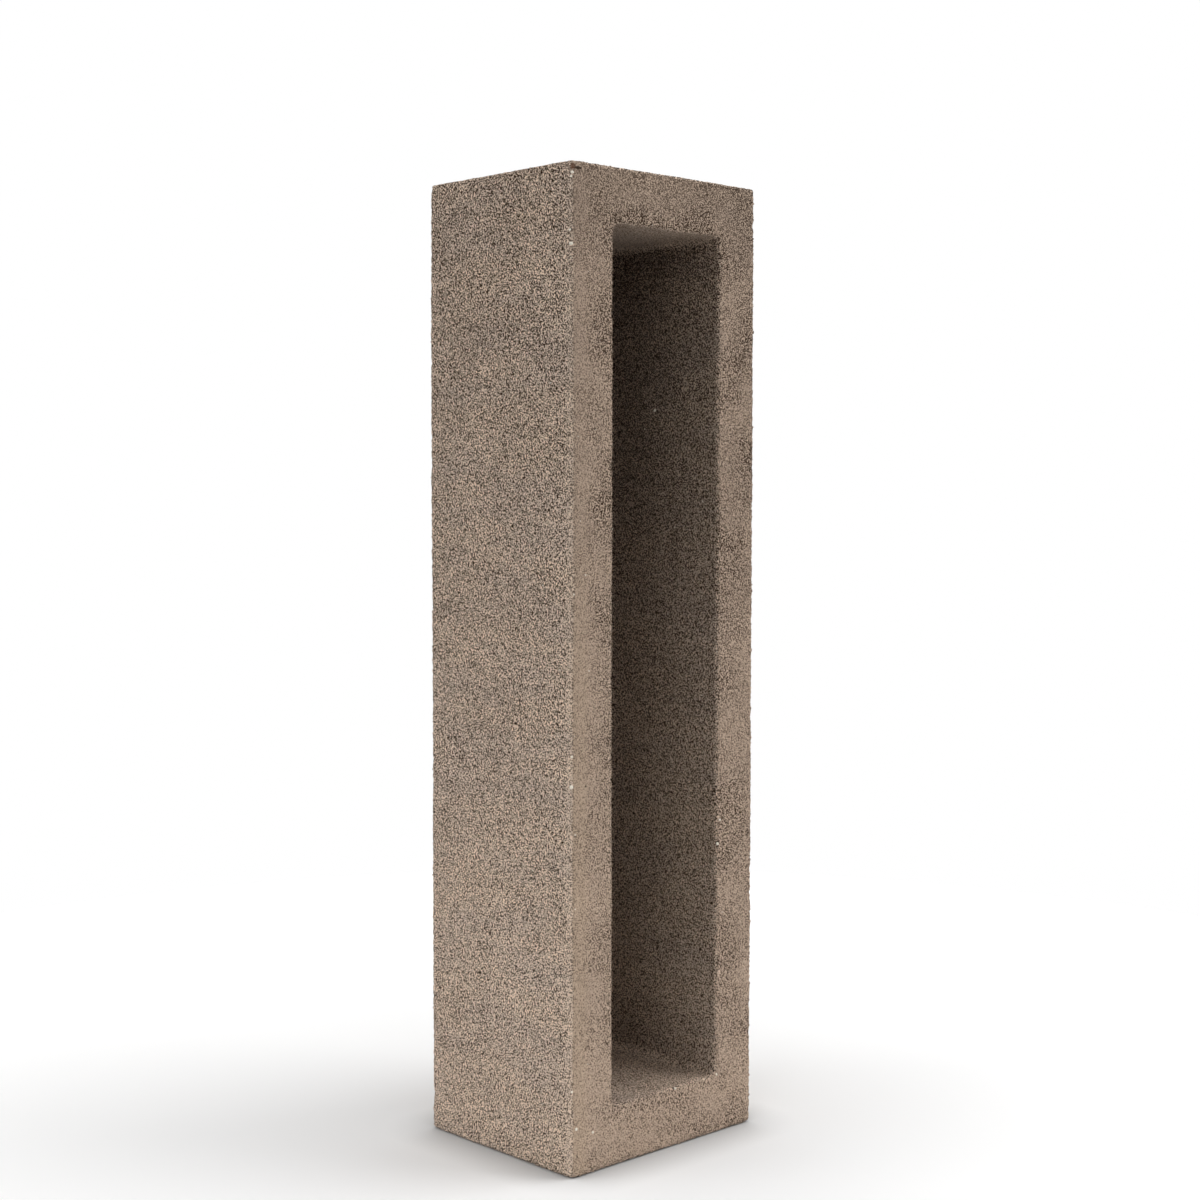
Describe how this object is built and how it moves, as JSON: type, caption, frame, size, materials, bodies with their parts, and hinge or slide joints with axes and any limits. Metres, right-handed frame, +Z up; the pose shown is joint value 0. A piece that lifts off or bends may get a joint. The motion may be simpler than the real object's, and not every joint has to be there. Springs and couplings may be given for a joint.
{
  "type": "hollow foam ceramic block",
  "caption": "Tall one-piece block of fine-pored foam ceramic with one deep rounded rectangular recess in its front face, for stacking into walls and screens.",
  "frame": {"origin": "middle of the base, on the surface that the block stands on", "axes": "+Z up the block's height, the recess opens towards -Y, +X to the right when looking into the recess"},
  "size_m": [0.158, 0.132, 0.6],
  "materials": {
    "foam_ceramic": "unglazed, matt, warm grey-brown, covered in fine open pores"
  },
  "bodies": {
    "root": {"foam_ceramic_block": "foam_ceramic"}
  },
  "joints": []
}
